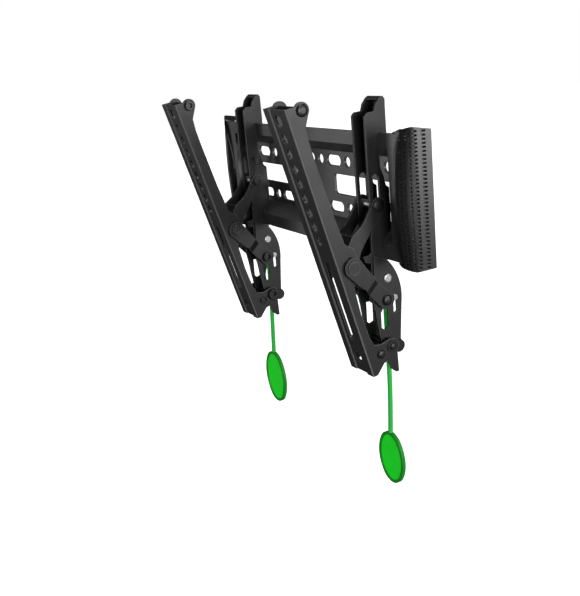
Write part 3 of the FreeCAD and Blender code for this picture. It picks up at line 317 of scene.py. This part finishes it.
def braided_nylon(name, colour):
    """The green cord: sixteen strands of dyed nylon plaited round a core."""
    material, tree, surface, place = start_material(name)
    # The plait's diagonals are about 1.1 mm apart. Two crossed bands stand for them.
    heights = []
    for turn in (0.7, -0.7):
        leaned = add(tree, "ShaderNodeMapping", {"Vector": place, "Rotation": (0.0, turn, 0.0)})
        bands = add(tree, "ShaderNodeTexWave", {
            "Vector": leaned.outputs["Vector"], "Scale": per_metre(1.1) / WAVE_BANDS,
            "Distortion": 0.4, "Detail": 0.0}, wave_type="BANDS", bands_direction="Z")
        heights.append(bands.outputs["Fac"])
    plait = add(tree, "ShaderNodeMath", {0: heights[0], 1: heights[1]}, operation="MULTIPLY")
    # The plait's low parts are painted darker: painted shade between the strands.
    shade = add(tree, "ShaderNodeMix", {
        0: plait.outputs["Value"], 6: toned(colour, 0.6), 7: linear(colour)}, data_type="RGBA")
    bump = add(tree, "ShaderNodeBump", {
        "Strength": 0.6, "Distance": 0.0002, "Height": plait.outputs["Value"]})
    surface.inputs["Roughness"].default_value = 0.7
    surface.inputs["Specular IOR Level"].default_value = 0.2
    # Painted glow: the cord's own colours are given as emission, standing in for light from all
    # round the white room soaking into the pale green strands.
    surface.inputs["Emission Strength"].default_value = 0.4
    tree.links.new(shade.outputs[2], surface.inputs["Emission Color"])
    tree.links.new(shade.outputs[2], surface.inputs["Base Color"])
    tree.links.new(bump.outputs["Normal"], surface.inputs["Normal"])
    return material


def backdrop_paper(name):
    """White seamless paper that the camera sees as white, and that throws little light back."""
    material, tree, surface, _ = start_material(name)
    rays = add(tree, "ShaderNodeLightPath")
    glow = add(tree, "ShaderNodeMath", {0: rays.outputs["Is Camera Ray"], 1: PAPER_GLOW},
               operation="MULTIPLY")
    paper = add(tree, "ShaderNodeMix", {
        0: rays.outputs["Is Camera Ray"], 6: linear(PAPER_SHADE), 7: linear(PAPER)},
        data_type="RGBA")
    tree.links.new(paper.outputs[2], surface.inputs["Base Color"])
    surface.inputs["Roughness"].default_value = 0.9
    surface.inputs["Emission Color"].default_value = WHITE
    tree.links.new(glow.outputs["Value"], surface.inputs["Emission Strength"])
    return material


def finish_nodes(material, names):
    """Give CAD nodes their finish."""
    for name in names:
        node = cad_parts[name]
        node.data.materials.clear()
        node.data.materials.append(material)


def bare_shaft(node, metal, middle):
    """Show a headed pin's shaft, between its two heads, in bare plated metal."""
    node.data.materials.append(metal)
    for face in node.data.polygons:
        if abs(face.center.x - middle) < SHAFT_HALF:
            face.material_index = 1


def press_spring(side):
    """Give a latch spring its own copy of its mesh."""
    name = "latch_spring_" + side
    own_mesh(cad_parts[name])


def both(*names):
    """The nodes of these names on both hangers."""
    return ["%s_%s" % (name, side) for name in names for side in SIDES]


# Sizes and colours that a user would change


class MountFinishes(bpy.types.PropertyGroup):
    powder: bpy.props.StringProperty(
        name="Powder coat", description="sRGB hex of the pressed steel's powder coat",
        default="#0D0D0E")
    plate: bpy.props.StringProperty(
        name="Plate coat", description="sRGB hex of the wall plate's powder coat",
        default="#424244")
    bracket: bpy.props.StringProperty(
        name="Bracket coat", description="sRGB hex of the hook brackets' duller powder coat",
        default="#080809")
    cover: bpy.props.StringProperty(
        name="End covers", description="sRGB hex of the moulded end covers", default="#1B1B1D")
    bolts: bpy.props.StringProperty(
        name="Bolts", description="sRGB hex of the blackened bolts", default="#0B0B0C")
    zinc: bpy.props.StringProperty(
        name="Zinc", description="sRGB hex of the plated rivets and pins", default="#A9AAAC")
    wire: bpy.props.StringProperty(
        name="Spring wire", description="sRGB hex of the latch springs' drawn wire",
        default="#8F9092")
    cord: bpy.props.StringProperty(
        name="Cords", description="sRGB hex of the pull cords", default="#2FB845")
    tab: bpy.props.StringProperty(
        name="Tabs", description="sRGB hex of the pull tabs", default="#14CE20")
    # The tab rims' deeper green is painted shade on the raised rims.
    rim_shade: bpy.props.StringProperty(
        name="Tab rims", description="sRGB hex of the pull tabs' rims", default="#0C6E16")
    satin: bpy.props.FloatProperty(
        name="Satin", description="Roughness of the powder coat", default=0.42,
        min=0.1, max=0.9, subtype="FACTOR")


class MountVents(bpy.types.PropertyGroup):
    rows: bpy.props.IntProperty(
        name="Rows", description="Vent rows up the front of an end cover", default=36, min=2)
    columns: bpy.props.IntProperty(
        name="Columns", description="Vent columns across the front of an end cover",
        default=3, min=1)
    pitch: bpy.props.FloatProperty(
        name="Row pitch", description="Distance between vent rows", default=0.0029,
        unit="LENGTH", precision=4)
    spread: bpy.props.FloatProperty(
        name="Spread", description="Distance from the first column to the last",
        default=0.0056, unit="LENGTH", precision=4)
    middle: bpy.props.FloatProperty(
        name="Middle", description="Middle column's distance from the plate's centre",
        default=0.1505, unit="LENGTH", precision=4)
    wide: bpy.props.FloatProperty(
        name="Vent width", description="Length of one vent", default=0.0017,
        unit="LENGTH", precision=4)
    high: bpy.props.FloatProperty(
        name="Vent height", description="Height of one vent", default=0.0011,
        unit="LENGTH", precision=4)
    deep: bpy.props.FloatProperty(
        name="Vent depth", description="Depth of one vent", default=0.0016,
        unit="LENGTH", precision=4)


class MountCords(bpy.types.PropertyGroup):
    diameter: bpy.props.FloatProperty(
        name="Diameter", description="Diameter of a pull cord", default=0.0042,
        unit="LENGTH", precision=4)


class MountStage(bpy.types.PropertyGroup):
    drop: bpy.props.FloatProperty(
        name="Floor drop", description="Height of the mount's lowest point above the floor",
        default=0.55, unit="LENGTH")
    right_power: bpy.props.FloatProperty(
        name="Right light", description="Power of the softbox on the right, behind the wall",
        default=12.8, unit="POWER")
    near_power: bpy.props.FloatProperty(
        name="Near light", description="Power of the softbox on the camera's side",
        default=15.7, unit="POWER")
    left_power: bpy.props.FloatProperty(
        name="Left light", description="Power of the softbox at the front left",
        default=5.6, unit="POWER")
    sun: bpy.props.FloatProperty(
        name="Even light", description="Strength of the wide light that falls from above",
        default=2.2, min=0.0)
    sky: bpy.props.FloatProperty(
        name="Room light", description="Strength of the even light from all round",
        default=0.03, min=0.0)


# Pieces


class MOUNT_OT_camera(bpy.types.Operator):
    """Place the camera at the photograph's viewing angle"""
    bl_idname = "mount.camera"
    bl_label = "Camera"

    def execute(self, context):
        data = bpy.data.cameras.new("camera")
        data.sensor_width = SENSOR_MM
        data.lens = LENS_MM
        data.clip_start = 0.01
        camera = bpy.data.objects.new("camera", data)
        right = Vector(CAMERA_RIGHT).normalized()
        back = Vector(CAMERA_BACK).normalized()
        up = back.cross(right).normalized()
        turn = Matrix((right, up, back)).transposed().to_4x4()
        camera.matrix_world = Matrix.Translation(CAMERA_AT) @ turn
        context.scene.collection.objects.link(camera)
        context.scene.camera = camera
        return {"FINISHED"}


class MOUNT_OT_pull_cords(bpy.types.Operator):
    """Make the green pull cords and finish their tabs"""
    bl_idname = "mount.pull_cords"
    bl_label = "Pull cords"

    def execute(self, context):
        finishes = context.scene.mount_finishes
        width = context.scene.mount_cords.diameter
        nylon = braided_nylon("braided_nylon", finishes.cord)
        for side in SIDES:
            tab = "pull_tab_" + side
            finish_nodes(moulded_polypropylene("moulded_" + tab, finishes.tab, finishes.rim_shade,
                                               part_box(tab)), [tab])
            curve = bpy.data.curves.new("braided_cord_" + side, "CURVE")
            curve.dimensions = "3D"
            curve.bevel_depth = width / 2
            curve.bevel_resolution = 6
            curve.use_fill_caps = True
            curve.resolution_u = 16
            spline = curve.splines.new("NURBS")
            points = CORD_ROUTE[side]
            spline.points.add(len(points) - 1)
            for point, place in zip(spline.points, points):
                point.co = (*place, 1.0)
            spline.order_u = 3
            spline.use_endpoint_u = True
            curve.materials.append(nylon)
            cord = bpy.data.objects.new("braided_cord_" + side, curve)
            context.scene.collection.objects.link(cord)
            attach(cord, "latch_" + side)
            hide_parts("pull_cord_" + side)
        return {"FINISHED"}


class MOUNT_OT_pressings(bpy.types.Operator):
    """Finish the wall plate, the hangers, the arms and the links"""
    bl_idname = "mount.pressings"
    bl_label = "Pressed steel"

    def execute(self, context):
        finishes = context.scene.mount_finishes
        coat, satin = finishes.powder, finishes.satin
        finish_nodes(powder_coated_steel("powder_coated_plate", finishes.plate, satin - 0.06),
                     ["wall_plate"])
        finish_nodes(powder_coated_steel("powder_coated_arm", coat, satin + 0.02, edge_mm=0.8,
                                         highlight_facing=ARM_HIGHLIGHT_FACING),
                     both("tv_arm"))
        finish_nodes(powder_coated_steel("powder_coated_bracket", finishes.bracket, satin + 0.1),
                     both("hook_bracket"))
        finish_nodes(powder_coated_steel("powder_coated_side_plate", coat, satin + 0.03),
                     both("side_plate_near", "side_plate_far"))
        finish_nodes(powder_coated_steel("powder_coated_link", coat, satin),
                     both("lower_link", "upper_link", "latch", "elbow_axle"))
        return {"FINISHED"}


class MOUNT_OT_fixings(bpy.types.Operator):
    """Finish the bolts, rivets, pins and springs"""
    bl_idname = "mount.fixings"
    bl_label = "Fixings"

    def execute(self, context):
        finishes = context.scene.mount_finishes
        finish_nodes(black_oxide_steel("black_oxide_steel", finishes.bolts),
                     both("link_axle", "pivot_bolt", "pivot_spacers", "ear_bolt", "stop_bolt",
                          "slide_pin", "boss_bolts"))
        zinc = plated_steel("zinc_plated_steel", finishes.zinc, 0.42, 0.25)
        finish_nodes(zinc, both("plate_rivets", "latch_pin", "spring_seat"))
        finish_nodes(plated_steel("spring_wire", finishes.wire, 0.26, 0.2), both("latch_spring"))
        for side in SIDES:
            bare_shaft(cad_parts["slide_pin_" + side], zinc, STATION[side])
            press_spring(side)
        return {"FINISHED"}


def vent_tree(material):
    """Nodes that cut rows of small slots into the front of an end cover."""
    tree = bpy.data.node_groups.new("cover_vents", "GeometryNodeTree")
    face = tree.interface
    face.new_socket("Cover", in_out="INPUT", socket_type="NodeSocketGeometry")
    for name in ("Middle", "Spread", "Pitch", "Wide", "High", "Deep"):
        face.new_socket(name, in_out="INPUT", socket_type="NodeSocketFloat")
    for name in ("Columns", "Rows"):
        face.new_socket(name, in_out="INPUT", socket_type="NodeSocketInt")
    face.new_socket("Cover", in_out="OUTPUT", socket_type="NodeSocketGeometry")
    given = add(tree, "NodeGroupInput").outputs
    gaps = add(tree, "ShaderNodeMath", {0: given["Rows"], 1: 1.0}, operation="SUBTRACT")
    tall = add(tree, "ShaderNodeMath", {0: gaps.outputs[0], 1: given["Pitch"]},
               operation="MULTIPLY")
    grid = add(tree, "GeometryNodeMeshGrid", {
        "Size X": given["Spread"], "Size Y": tall.outputs[0],
        "Vertices X": given["Columns"], "Vertices Y": given["Rows"]})
    centre = add(tree, "ShaderNodeCombineXYZ", {"X": given["Middle"], "Y": RAY_FROM})
    stood = add(tree, "GeometryNodeTransform", {
        "Geometry": grid.outputs["Mesh"], "Translation": centre.outputs["Vector"],
        "Rotation": (math.pi / 2, 0.0, 0.0)})
    hit = add(tree, "GeometryNodeRaycast", {
        "Target Geometry": given["Cover"], "Ray Direction": (0.0, 1.0, 0.0),
        "Ray Length": RAY_LONG})
    landed = add(tree, "GeometryNodeSetPosition", {
        "Geometry": stood.outputs["Geometry"], "Selection": hit.outputs["Is Hit"],
        "Position": hit.outputs["Hit Position"]})
    kept = add(tree, "GeometryNodeStoreNamedAttribute", {
        "Geometry": landed.outputs["Geometry"], "Name": "facing",
        "Value": hit.outputs["Hit Normal"]}, data_type="FLOAT_VECTOR")
    size = add(tree, "ShaderNodeCombineXYZ", {
        "X": given["Wide"], "Y": given["High"], "Z": given["Deep"]})
    punch = add(tree, "GeometryNodeMeshCube", {"Size": size.outputs["Vector"]})
    facing = add(tree, "GeometryNodeInputNamedAttribute", {"Name": "facing"},
                 data_type="FLOAT_VECTOR")
    level = add(tree, "FunctionNodeAlignRotationToVector", {
        "Vector": (1.0, 0.0, 0.0)}, axis="X")
    aimed = add(tree, "FunctionNodeAlignRotationToVector", {
        "Rotation": level.outputs["Rotation"], "Vector": facing.outputs["Attribute"]}, axis="Z")
    punches = add(tree, "GeometryNodeInstanceOnPoints", {
        "Points": kept.outputs["Geometry"], "Instance": punch.outputs["Mesh"],
        "Rotation": aimed.outputs["Rotation"]})
    real = add(tree, "GeometryNodeRealizeInstances", {"Geometry": punches.outputs["Instances"]})
    cut = add(tree, "GeometryNodeMeshBoolean", {
        "Mesh 1": given["Cover"], "Mesh 2": real.outputs["Geometry"]},
        operation="DIFFERENCE", solver="EXACT")
    flat = add(tree, "GeometryNodeSetMaterial", {
        "Geometry": cut.outputs["Mesh"], "Material": material})
    output = add(tree, "NodeGroupOutput")
    tree.links.new(flat.outputs["Geometry"], output.inputs["Cover"])
    return tree


def cut_copy(context, source, name, tree, values):
    """A merged copy of a CAD node, run through a tree and turned back into a plain mesh."""
    mesh = source.data.copy()
    work = bpy.data.objects.new(name + "_work", mesh)
    context.scene.collection.objects.link(work)
    weld = work.modifiers.new("weld", "WELD")
    weld.merge_threshold = MERGE
    nodes = work.modifiers.new("vents", "NODES")
    nodes.node_group = tree
    for item in tree.interface.items_tree:
        if item.in_out == "INPUT" and item.name in values:
            nodes[item.identifier] = values[item.name]
    context.view_layer.update()
    evaluated = work.evaluated_get(context.evaluated_depsgraph_get())
    result = bpy.data.meshes.new_from_object(evaluated)
    work.modifiers.clear()
    bpy.data.objects.remove(work)
    piece = bpy.data.objects.new(name, result)
    context.scene.collection.objects.link(piece)
    return piece


class MOUNT_OT_end_covers(bpy.types.Operator):
    """Cut the vents of the two end covers and finish them"""
    bl_idname = "mount.end_covers"
    bl_label = "End covers"

    def execute(self, context):
        vents = context.scene.mount_vents
        plastic = moulded_abs("moulded_abs", context.scene.mount_finishes.cover)
        tree = vent_tree(plastic)
        for side in SIDES:
            node = "end_cover_" + side
            sign = -1.0 if side == "left" else 1.0
            shell = cut_copy(context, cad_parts[node], "vented_cover_" + side, tree, {
                "Middle": sign * vents.middle, "Spread": vents.spread, "Pitch": vents.pitch,
                "Wide": vents.wide, "High": vents.high, "Deep": vents.deep * 2,
                "Columns": vents.columns, "Rows": vents.rows})
            shell.data.materials.clear()
            shell.data.materials.append(plastic)
            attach(shell, "wall")
            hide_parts(node)
        return {"FINISHED"}


class MOUNT_OT_stage(bpy.types.Operator):
    """Lay the pale floor and set the soft studio light"""
    bl_idname = "mount.stage"
    bl_label = "Stage"

    def execute(self, context):
        stage = context.scene.mount_stage
        level = CAD_BOX[0][2] - stage.drop
        mesh = bpy.data.meshes.new("floor")
        corners = [(-FLOOR_HALF, -FLOOR_HALF, level), (FLOOR_HALF, -FLOOR_HALF, level),
                   (FLOOR_HALF, FLOOR_HALF, level), (-FLOOR_HALF, FLOOR_HALF, level)]
        mesh.from_pydata(corners, [], [(0, 1, 2, 3)])
        mesh.materials.append(backdrop_paper("backdrop_paper"))
        floor = bpy.data.objects.new("floor", mesh)
        context.scene.collection.objects.link(floor)
        for name, place in SOFTBOX_AT.items():
            self.lamp(context, "softbox_" + name, place, getattr(stage, name + "_power"))
        data = bpy.data.lights.new("even_light", "SUN")
        data.energy = stage.sun
        data.angle = SUN_SPREAD
        even = bpy.data.objects.new("even_light", data)
        context.scene.collection.objects.link(even)
        world = bpy.data.worlds.new("studio")
        world.use_nodes = True
        tree = world.node_tree
        tree.nodes.clear()
        rays = add(tree, "ShaderNodeLightPath")
        room = add(tree, "ShaderNodeBackground", {
            "Color": WHITE, "Strength": stage.sky})
        white = add(tree, "ShaderNodeBackground", {"Color": WHITE, "Strength": 1.0})
        chosen = add(tree, "ShaderNodeMixShader", {
            0: rays.outputs["Is Camera Ray"], 1: room.outputs[0], 2: white.outputs[0]})
        add(tree, "ShaderNodeOutputWorld", {"Surface": chosen.outputs[0]})
        context.scene.world = world
        context.scene.view_settings.view_transform = "Standard"
        return {"FINISHED"}

    def lamp(self, context, name, place, power):
        """A softbox that faces the mount."""
        data = bpy.data.lights.new(name, "AREA")
        data.shape = "SQUARE"
        data.size = SOFTBOX_WIDE
        data.energy = power
        lamp = bpy.data.objects.new(name, data)
        turn = (Vector(AIM) - Vector(place)).to_track_quat("-Z", "Y").to_matrix().to_4x4()
        lamp.matrix_world = Matrix.Translation(place) @ turn
        context.scene.collection.objects.link(lamp)


class MOUNT_PT_panel(bpy.types.Panel):
    """Lists the mount's sizes, finishes and making steps"""
    bl_idname = "MOUNT_PT_panel"
    bl_label = "Television mount"
    bl_space_type = "VIEW_3D"
    bl_region_type = "UI"
    bl_category = "Mount"

    def draw(self, context):
        layout = self.layout
        for operator in OPERATORS:
            layout.operator(operator.bl_idname)
        for group in ("mount_finishes", "mount_vents", "mount_cords", "mount_stage"):
            owner = getattr(context.scene, group)
            box = layout.box()
            for name in owner.__annotations__:
                box.prop(owner, name)


GROUPS = {
    "mount_finishes": MountFinishes,
    "mount_vents": MountVents,
    "mount_cords": MountCords,
    "mount_stage": MountStage,
}
OPERATORS = (MOUNT_OT_camera, MOUNT_OT_pull_cords, MOUNT_OT_pressings, MOUNT_OT_fixings,
             MOUNT_OT_end_covers, MOUNT_OT_stage)


def register():
    for name, group in GROUPS.items():
        bpy.utils.register_class(group)
        setattr(bpy.types.Scene, name, bpy.props.PointerProperty(type=group))
    for operator in OPERATORS:
        bpy.utils.register_class(operator)
    bpy.utils.register_class(MOUNT_PT_panel)


def unregister():
    bpy.utils.unregister_class(MOUNT_PT_panel)
    for operator in reversed(OPERATORS):
        bpy.utils.unregister_class(operator)
    for name, group in reversed(list(GROUPS.items())):
        delattr(bpy.types.Scene, name)
        bpy.utils.unregister_class(group)


def main():
    register()
    bpy.ops.mount.camera()
    bpy.ops.mount.pull_cords()
    bpy.ops.mount.pressings()
    bpy.ops.mount.fixings()
    bpy.ops.mount.end_covers()
    bpy.ops.mount.stage()


if __name__ == "__main__":
    main()
